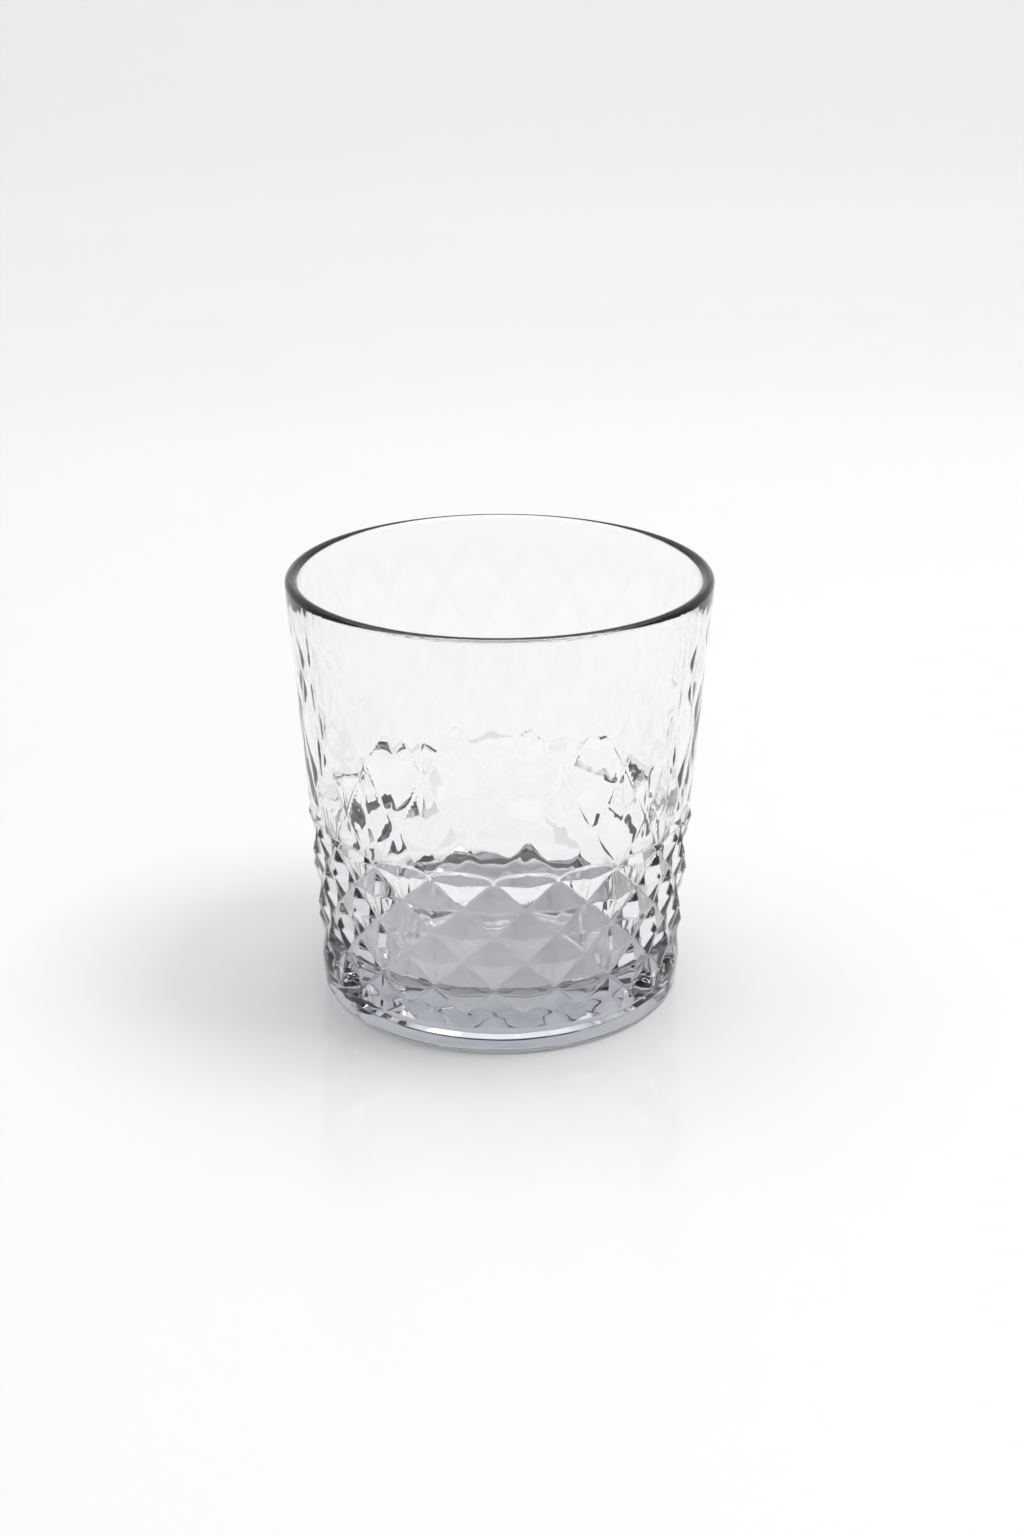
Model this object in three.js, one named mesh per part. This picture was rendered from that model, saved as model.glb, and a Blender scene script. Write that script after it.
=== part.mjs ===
// A low whiskey tumbler of pressed clear glass, in millimetres. It is one solid piece: a thick base, a
// tapered wall covered in raised diamonds, a plain band under a fire-polished lip, and a smooth cavity.
// +Z is up, z = 0 is the table, and the first column of diamonds stands close to -Y.
import * as THREE from 'three';

// Overall shape
const HEIGHT = 87;
const RIM_RADIUS = 42;            // outside of the straight wall where it meets the rounded lip
const BASE_RADIUS = 36.6;         // outside of the straight wall, carried down to the table
const LIP_THICKNESS = 2.4;
const HEEL_ROUND = 1.5;           // the rounding from the wall to the foot
const FOOT_WIDTH = 9.5;           // the flat ring that the glass stands on
const PUNT_DEPTH = 0.8;           // the shallow hollow inside that ring

// Cavity
const FLOOR_HEIGHT = 11.4;        // glass under the drink
const FLOOR_RADIUS = 33.8;        // where the cavity's wall would meet its floor
const FLOOR_ROUND = 1.5;          // the rounding between them

// Diamonds: grooves cross at nodes, and each diamond between four nodes rises to a point in four flats
const DIAMONDS_ROUND = 19;
const LATTICE_TURN = -1.94;       // degrees from -Y to the nearest column of nodes
const RELIEF = 1.4;               // depth of a groove crossing below the points
const FOOT_RELIEF = 0.4;          // the same for the lowest crossings, where the grooves run out
const LATTICE_FOOT = 7.9;         // height of the lowest crossings
const SQUARE_STEP = 5.8;          // half the height of a diamond in the lower, even rows
const SQUARE_STEPS = 5;
const RUN_OUT = 1;                // plain glass below the lowest crossings, where the grooves end

// Above the even rows the wall steps in a little, and long shallow diamonds fade out towards the lip
const SHOULDER = 2.1;             // height of the step
const RECESS = 0.5;               // depth of the step, which dies away with height
const TALL_RELIEF = 0.3;
const TALL_STEPS = [9.6, 11.5, 13, 10.5]; // half heights of the long diamonds

const COLUMNS = 2 * DIAMONDS_ROUND;
const SMOOTH = 2 * COLUMNS;       // points round the plain parts
const ARC_STEPS = 6;

const lipCentre = HEIGHT - LIP_THICKNESS / 2;
const wallRadius = (z) => THREE.MathUtils.lerp(BASE_RADIUS, RIM_RADIUS, z / lipCentre);

// A ring of points about the axis, anticlockwise seen from above, starting at the lattice's first column.
function ring(count, radiusAt, heightAt) {
  return Array.from({ length: count }, (_, i) => {
    const turn = THREE.MathUtils.degToRad(LATTICE_TURN) + (2 * Math.PI * i) / count;
    const radius = radiusAt(i);
    return new THREE.Vector3(radius * Math.sin(turn), -radius * Math.cos(turn), heightAt(i));
  });
}

const plainRing = (radius, z, count = SMOOTH) => ring(count, () => radius, () => z);

// Points of a circular arc in the (radius, height) plane, both ends included.
function arc(radius, z, size, fromDegrees, toDegrees) {
  return Array.from({ length: ARC_STEPS + 1 }, (_, i) => {
    const angle = THREE.MathUtils.degToRad(THREE.MathUtils.lerp(fromDegrees, toDegrees, i / ARC_STEPS));
    return [radius + size * Math.cos(angle), z + size * Math.sin(angle)];
  });
}

// Heights of the lattice rows, from the lowest crossings to the plain band, where the relief has faded.
const rowHeights = [LATTICE_FOOT];
for (let i = 0; i < SQUARE_STEPS; i++) rowHeights.push(rowHeights.at(-1) + SQUARE_STEP);
const squareTop = rowHeights.at(-1);
for (const step of TALL_STEPS) rowHeights.push(rowHeights.at(-1) + step);
const latticeTop = rowHeights.at(-1);

const isCrossing = (column, row) => (column + row) % 2 === 1;
// How much of the step and of the long diamonds is left at a height above the even rows.
const remaining = (z) => (latticeTop - z) / (latticeTop - squareTop);

function latticeRing(row) {
  const z = rowHeights[row];
  const tall = row > SQUARE_STEPS;
  const base = tall ? RECESS * remaining(z) : 0;
  const relief = tall ? TALL_RELIEF * remaining(z) : row === 0 ? FOOT_RELIEF : RELIEF;
  const sunk = (column) => base + (isCrossing(column, row) ? relief : 0);
  return ring(COLUMNS, (column) => wallRadius(z) - sunk(column), () => z);
}

// Skins the glass ring by ring, from the middle of the underside out, up, over the lip and down inside.
const triangles = [];

function fan(centre, edge, facesUp) {
  edge.forEach((point, i) => {
    const next = edge[(i + 1) % edge.length];
    triangles.push(...(facesUp ? [centre, point, next] : [centre, next, point]));
  });
}

// Joins two rings whose counts may differ, always stepping along the ring that has fallen behind.
function join(first, second) {
  let i = 0;
  let j = 0;
  while (i < first.length || j < second.length) {
    const a = first[i % first.length];
    const b = second[j % second.length];
    if ((i + 1) / first.length <= (j + 1) / second.length) {
      i += 1;
      triangles.push(a, first[i % first.length], b);
    } else {
      j += 1;
      triangles.push(a, second[j % second.length], b);
    }
  }
}

// Joins two lattice rows: each cell folds along the groove between its two crossings.
function joinLattice(row, lower, upper) {
  for (let column = 0; column < COLUMNS; column++) {
    const next = (column + 1) % COLUMNS;
    const [a, b, c, d] = [lower[column], lower[next], upper[next], upper[column]];
    triangles.push(...(isCrossing(column, row) ? [a, b, c, a, c, d] : [a, b, d, b, c, d]));
  }
}

function buildUnderside() {
  const footOuter = wallRadius(HEEL_ROUND) - HEEL_ROUND;
  const footInner = footOuter - FOOT_WIDTH;
  const puntRing = plainRing(footInner - 2 * PUNT_DEPTH, PUNT_DEPTH);
  fan(new THREE.Vector3(0, 0, PUNT_DEPTH), puntRing, false);
  join(puntRing, plainRing(footInner, 0));
  join(plainRing(footInner, 0), plainRing(footOuter, 0));
  const heel = arc(footOuter, HEEL_ROUND, HEEL_ROUND, -90, 0).map(([r, z]) => plainRing(r, z));
  heel.slice(1).forEach((next, i) => join(heel[i], next));
  return heel.at(-1);
}

function buildWall(heelTop) {
  const runOut = LATTICE_FOOT - RUN_OUT;
  const bandTop = plainRing(wallRadius(runOut), runOut, COLUMNS);
  join(heelTop, bandTop);
  const rows = rowHeights.map((_, row) => latticeRing(row));
  join(bandTop, rows[0]);
  for (let row = 0; row < SQUARE_STEPS; row++) joinLattice(row, rows[row], rows[row + 1]);
  const shoulderTop = squareTop + SHOULDER;
  const shoulder = plainRing(wallRadius(shoulderTop) - RECESS, shoulderTop, COLUMNS);
  joinLattice(SQUARE_STEPS, rows[SQUARE_STEPS], shoulder);
  joinLattice(SQUARE_STEPS, shoulder, rows[SQUARE_STEPS + 1]);
  for (let row = SQUARE_STEPS + 1; row < rows.length - 1; row++) {
    joinLattice(row, rows[row], rows[row + 1]);
  }
  return rows.at(-1);
}

// The lip is a half round across the wall's thickness.
function buildLip(wallTop) {
  const size = LIP_THICKNESS / 2;
  const lip = arc(RIM_RADIUS - size, lipCentre, size, 0, 180).map(([r, z]) => plainRing(r, z));
  join(wallTop, lip[0]);
  lip.slice(1).forEach((next, i) => join(lip[i], next));
  return lip.at(-1);
}

// The cavity's wall runs straight down to a rounded corner that is tangent to the wall and to the floor.
function buildCavity(lipInside) {
  const topRadius = RIM_RADIUS - LIP_THICKNESS;
  const slope = Math.atan2(topRadius - FLOOR_RADIUS, lipCentre - FLOOR_HEIGHT);
  const inset = FLOOR_ROUND * Math.tan((Math.PI / 2 - slope) / 2);
  const corner = arc(FLOOR_RADIUS - inset, FLOOR_HEIGHT + FLOOR_ROUND, FLOOR_ROUND,
    -THREE.MathUtils.radToDeg(slope), -90).map(([r, z]) => plainRing(r, z));
  join(lipInside, corner[0]);
  corner.slice(1).forEach((next, i) => join(corner[i], next));
  fan(new THREE.Vector3(0, 0, FLOOR_HEIGHT), corner.at(-1), true);
}

buildCavity(buildLip(buildWall(buildUnderside())));

const geometry = new THREE.BufferGeometry().setFromPoints(triangles);
geometry.computeVertexNormals();

const glass = new THREE.MeshStandardMaterial({
  color: 0xe6ecee,
  roughness: 0.04,
  metalness: 0,
  transparent: true,
  opacity: 0.4,
});

const body = new THREE.Mesh(geometry, glass);
body.name = 'glass_body';

const tumbler = new THREE.Group();
tumbler.add(body);

export default tumbler;
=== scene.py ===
import math

import bpy
import numpy as np
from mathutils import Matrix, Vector


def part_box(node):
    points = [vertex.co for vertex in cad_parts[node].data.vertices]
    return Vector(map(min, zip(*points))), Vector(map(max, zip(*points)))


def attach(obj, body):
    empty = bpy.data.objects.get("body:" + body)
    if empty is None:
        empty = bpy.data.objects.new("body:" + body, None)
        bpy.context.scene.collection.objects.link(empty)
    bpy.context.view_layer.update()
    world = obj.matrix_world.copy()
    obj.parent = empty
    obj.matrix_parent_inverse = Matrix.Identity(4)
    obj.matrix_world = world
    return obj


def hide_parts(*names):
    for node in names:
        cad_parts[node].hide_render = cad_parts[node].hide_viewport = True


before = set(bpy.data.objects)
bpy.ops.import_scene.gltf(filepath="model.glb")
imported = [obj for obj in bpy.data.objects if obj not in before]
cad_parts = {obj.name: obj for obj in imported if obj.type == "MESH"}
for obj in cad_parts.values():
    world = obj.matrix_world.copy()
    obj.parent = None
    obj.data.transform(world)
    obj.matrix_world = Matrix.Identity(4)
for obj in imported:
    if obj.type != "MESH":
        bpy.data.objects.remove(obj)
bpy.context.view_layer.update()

# The glass. One gob of clear soda-lime glass is pressed in an iron mould. The mould leaves the diamonds,
# the stepped wall and the seams outside, and a smooth plunger leaves the cavity. A flame then melts the lip
# round.
low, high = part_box("glass_body")
height = high.z - low.z
rim_radius = 0.04197              # outside of the straight wall, at the lip
base_radius = 0.0366              # the same wall carried down to the table
lip_thickness = 0.0024
heel_round = 0.0015
foot_width = 0.0095               # flat ring that the glass stands on
punt_depth = 0.0008               # shallow hollow inside that ring
floor_height = 0.0114             # glass under the drink
floor_radius = 0.0338             # where the cavity's wall would meet its floor
floor_round = 0.0028

diamonds_round = 19
lattice_turn = math.radians(-1.94)
relief = 0.0014                   # depth of the groove crossings in the even rows
lattice_foot = 0.0079             # height of the lowest crossings
run_in = 0.0020                   # the band below the lattice eases into it over this height
start_share = 0.6                 # the lowest crossings have this share of the relief
start_height = 0.0012             # and all of it is reached this much higher
square_step = 0.0058              # half the height of a diamond
square_steps = 5
arch = 0.0022                     # the even rows end in low arches, this high above the last crossings
ledge = 0.0009                    # height over which the arches step to the wall above
recess = 0.0004                   # that wall is stepped in by this much, and less towards the lip
tall_relief = 0.0003              # depth of the grooves between the long diamonds above
tall_steps = [0.0096, 0.0115, 0.0130, 0.0105]
tall_shares = [0.1, 0.5, 1, 0.8, 0]  # share of that depth at each row, from the lowest up

seam_turns = [1 / 6, 1 / 2, 5 / 6]   # mould seams, in turns from the first column
seam_height = 0.0001
seam_rings = 30                   # the seams show on this many of the wall's topmost rings

columns = 2 * diamonds_round      # half diamonds round the glass
fineness = 12                     # mesh cells along each half diamond
arch_rings = 27                   # rings of mesh points through the arches
tall_rings = 42                   # and above them
pole = 1e-4                       # radius of the small face that closes each end of the skin
around = columns * fineness
lip_centre = height - lip_thickness / 2
square_top = lattice_foot + square_steps * square_step
lattice_top = square_top + sum(tall_steps)


def wall_radius(z):
    """Straight taper: the radius grows evenly from the table to the middle of the lip."""
    return base_radius + (rim_radius - base_radius) * z / lip_centre


def arc(radius, z, size, start, end, steps):
    """Points of a circular arc in the (radius, height) plane, from start to end degrees."""
    angle = np.radians(np.linspace(start, end, steps + 1))
    return np.column_stack([radius + size * np.cos(angle), z + size * np.sin(angle)])


def held(profile, ease=0.00012):
    """Adds a point just inside both ends of each long straight run, so it stays flat up to its roundings."""
    start, end = profile[:-1], profile[1:]
    run = end - start
    length = np.hypot(*run.T)[:, None]
    near, far = start + run * ease / length, end - run * ease / length
    stops = np.stack([near, far, end], axis=1)
    kept = np.ones(stops.shape[:2], bool)
    kept[:, :2] = length > 6 * ease
    return np.vstack([profile[:1], stops[kept]])


def turned(profile):
    """Each (radius, height) point is carried round: x = r sin(turn), y = -r cos(turn), z = height."""
    turn = lattice_turn + np.arange(around) * (2 * math.pi / around)
    radius, z = profile[:, :1], profile[:, 1:]
    return np.stack([radius * np.sin(turn), -radius * np.cos(turn), z + 0 * turn], axis=-1)


def climb(column, row):
    """Height on a diamond, from 0 in its grooves to 1 at its point. Counted in half diamonds, the grooves
    are the lines where column + row or column - row is odd, and a flat climbs away from the nearer one."""
    up, down = (column + row + 1) / 2, (column - row + 1) / 2
    return 2 * np.minimum(np.abs(up - np.round(up)), np.abs(down - np.round(down)))


def lattice():
    """Wall radius less the depth of the cuts, over (height, column). Even rows: relief times how far down
    the flats a point lies, plus the sag of a flat under the round wall. They end in arches, half ellipses
    from crossing to crossing. Above the arches: a step in that dies away with height, plus the grooves
    between long cushions, which deepen with height and then fade out."""
    fine_top = square_top + arch + ledge
    z = np.concatenate([np.arange(square_steps * fineness) * square_step / fineness + lattice_foot,
                        np.linspace(square_top, fine_top, arch_rings + 1)[:-1],
                        np.linspace(fine_top, lattice_top, tall_rings)])[:, None]
    column = np.arange(around)[None, :] / fineness
    half = math.pi / columns
    across = 2 * (column % 1) - 1
    sag = wall_radius(z) * (1 - math.cos(half) / np.cos(half * across))

    start = np.clip(start_share + (1 - start_share) * (z - lattice_foot) / start_height, 0, 1)
    even = relief * start * (1 - climb(column, (z - lattice_foot) / square_step)) + sag

    left = (lattice_top - z) / (lattice_top - square_top)
    tall_rows = square_top + np.cumsum([0] + tall_steps)
    tall_row = square_steps + np.interp(z, tall_rows, np.arange(len(tall_rows)))
    swell = np.interp(z, tall_rows, tall_shares)
    tall = left * recess + swell * tall_relief * (1 - climb(column, tall_row)) ** 2

    off_point = np.abs((column % 2) - 1)
    arch_top = square_top + arch * np.sqrt(1 - off_point ** 2)
    above = np.clip((z - arch_top) / ledge + 0.5, 0, 1)
    depth = even + above * (tall - even)
    seams = np.round(np.array(seam_turns) * around).astype(int)
    depth[-seam_rings:, seams] -= seam_height
    radius = wall_radius(z) - depth
    turn = lattice_turn + column * (2 * math.pi / columns)
    return np.stack([radius * np.sin(turn), -radius * np.cos(turn), z + 0 * turn], axis=-1)


def glass_grid():
    """One closed skin, in rings from the middle of the underside out, up, over the lip and down inside."""
    foot_outer = wall_radius(heel_round) - heel_round
    foot_inner = foot_outer - foot_width
    underside = [[pole, punt_depth], [foot_inner - 2 * punt_depth, punt_depth], [foot_inner, 0]]
    heel = arc(foot_outer, heel_round, heel_round, -90, 0, 8)
    band_top = lattice_foot - run_in
    band = [[wall_radius(band_top), band_top]]
    half = lip_thickness / 2
    lip = arc(rim_radius - half, lip_centre, half, 0, 180, 16)
    slope = math.atan2(rim_radius - lip_thickness - floor_radius, lip_centre - floor_height)
    inset = floor_round * math.tan((math.pi / 2 - slope) / 2)
    corner = arc(floor_radius - inset, floor_height + floor_round, floor_round,
                 -math.degrees(slope), -90, 10)
    below = turned(held(np.vstack([underside, heel, band])))
    above = turned(held(np.vstack([lip, corner, [[pole, floor_height]]])))
    return np.concatenate([below, lattice(), above])


def skin(name, grid):
    """Triangles between neighbouring rings and columns, with one small face over each end ring. Each cell is
    split along the diagonal that lies nearer the axis, so that the grooves stay straight."""
    rings, count = grid.shape[:2]
    index = np.arange(rings * count).reshape(rings, count)
    a, d = index[:-1], index[1:]
    b, c = np.roll(a, -1, axis=1), np.roll(d, -1, axis=1)
    radius = np.hypot(grid[..., 0], grid[..., 1]).ravel()
    rising = (radius[a] + radius[c] <= radius[b] + radius[d])[..., None]
    lower = np.where(rising, np.stack([a, b, c], -1), np.stack([a, b, d], -1))
    upper = np.where(rising, np.stack([a, c, d], -1), np.stack([b, c, d], -1))
    cells = np.concatenate([lower.reshape(-1, 3), upper.reshape(-1, 3)])
    mesh = bpy.data.meshes.new(name)
    mesh.from_pydata(grid.reshape(-1, 3).tolist(), [],
                     cells.tolist() + [index[0, ::-1].tolist(), index[-1].tolist()])
    mesh.shade_smooth()
    piece = bpy.data.objects.new(name, mesh)
    bpy.context.collection.objects.link(piece)
    return piece


def clear_glass():
    """Clear soda-lime glass: index 1.52, a blue-grey loss with depth, and faint waves from the mould."""
    material = bpy.data.materials.new("clear_glass")
    material.use_nodes = True
    nodes, links = material.node_tree.nodes, material.node_tree.links
    glass = nodes["Principled BSDF"]
    glass.inputs["Base Color"].default_value = (1, 1, 1, 1)
    glass.inputs["Roughness"].default_value = 0.0
    glass.inputs["IOR"].default_value = 1.52
    glass.inputs["Transmission Weight"].default_value = 1.0
    place = nodes.new("ShaderNodeTexCoord")
    waves = nodes.new("ShaderNodeTexNoise")
    waves.inputs["Scale"].default_value = 130
    waves.inputs["Detail"].default_value = 2
    links.new(place.outputs["Object"], waves.inputs["Vector"])
    bump = nodes.new("ShaderNodeBump")
    bump.inputs["Strength"].default_value = 0.35
    bump.inputs["Distance"].default_value = 0.0002
    links.new(waves.outputs["Fac"], bump.inputs["Height"])
    links.new(bump.outputs["Normal"], glass.inputs["Normal"])
    tint = nodes.new("ShaderNodeVolumeAbsorption")
    tint.inputs["Color"].default_value = (0.800, 0.805, 0.825, 1)
    tint.inputs["Density"].default_value = 44.0
    links.new(tint.outputs["Volume"], nodes["Material Output"].inputs["Volume"])
    return material


glass = skin("glass", glass_grid())
glass.data.materials.append(clear_glass())
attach(glass, "root")
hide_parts("glass_body")


# The table. One sheet of glossy white acrylic, flat under the glass and swept up far behind it.
# It lies just under the foot, so that the underside of the glass keeps its thin film of air.
table_gap = 0.0002
table_reach = 2.4                 # to each side of the glass, and in front of it
bend_start = 0.7                  # distance behind the glass at which the sheet starts to rise
bend_radius = 0.6
sheet_top = 2.2


def sweep():
    """A strip whose side view is a floor, a quarter circle and a wall; x is straight across."""
    bend = np.linspace(0, math.pi / 2, 13)
    curve = np.column_stack([bend_start + bend_radius * np.sin(bend),
                             bend_radius - bend_radius * np.cos(bend)])
    back = bend_start + bend_radius
    side = np.vstack([[[-table_reach, 0]], curve, [[back, sheet_top]]]) - [0, table_gap]
    x = np.array([-table_reach, table_reach])
    grid = np.stack([x[None, :] + 0 * side[:, :1], side[:, :1] + 0 * x, side[:, 1:] + 0 * x], axis=-1)
    index = np.arange(2 * len(side)).reshape(-1, 2)
    faces = np.stack([index[:-1, 0], index[:-1, 1], index[1:, 1], index[1:, 0]], axis=-1)
    mesh = bpy.data.meshes.new("sweep")
    mesh.from_pydata(grid.reshape(-1, 3).tolist(), [], faces.tolist())
    mesh.shade_smooth()
    piece = bpy.data.objects.new("sweep", mesh)
    bpy.context.collection.objects.link(piece)
    return piece


def white_acrylic():
    """Plain glossy white sheet."""
    material = bpy.data.materials.new("white_acrylic")
    material.use_nodes = True
    sheet = material.node_tree.nodes["Principled BSDF"]
    sheet.inputs["Base Color"].default_value = (0.82, 0.82, 0.82, 1)
    sheet.inputs["Roughness"].default_value = 0.10
    return material


floor = sweep()
floor.data.materials.append(white_acrylic())


# Lights. A soft box high at the right throws the shadow to the left, a wide one overhead lights the floor
# evenly, and the room fills in.
def soft_box(name, place, target, size, power):
    lamp = bpy.data.lights.new(name, "AREA")
    lamp.shape = "RECTANGLE"
    lamp.size, lamp.size_y = size
    lamp.energy = power
    box = bpy.data.objects.new(name, lamp)
    bpy.context.collection.objects.link(box)
    box.location = place
    box.rotation_euler = (Vector(target) - Vector(place)).to_track_quat("-Z", "Y").to_euler()
    return box


soft_box("key_light", (0.42, -0.06, 1.00), (0, 0, 0.04), (0.40, 0.40), 3.8)
soft_box("top_light", (0, 0.9, 2.2), (0, 0.9, 0), (4.0, 3.2), 66)

room = bpy.data.worlds.new("room")
room.use_nodes = True
room.node_tree.nodes["Background"].inputs["Color"].default_value = (0.92, 0.95, 1.0, 1)
room.node_tree.nodes["Background"].inputs["Strength"].default_value = 0.40
bpy.context.scene.world = room

# Camera, above the rim and looking down into the glass.
camera_tilt = 0.3853              # below level
camera_turn = -0.0056             # from straight ahead
camera_data = bpy.data.cameras.new("camera")
camera_data.sensor_width = 36
camera_data.lens = 53.74
camera = bpy.data.objects.new("camera", camera_data)
camera.location = (0, -0.430, 0.2198)
camera.rotation_euler = (math.pi / 2 - camera_tilt, 0, camera_turn)
bpy.context.collection.objects.link(camera)
bpy.context.scene.camera = camera
bpy.context.scene.view_settings.view_transform = "Standard"
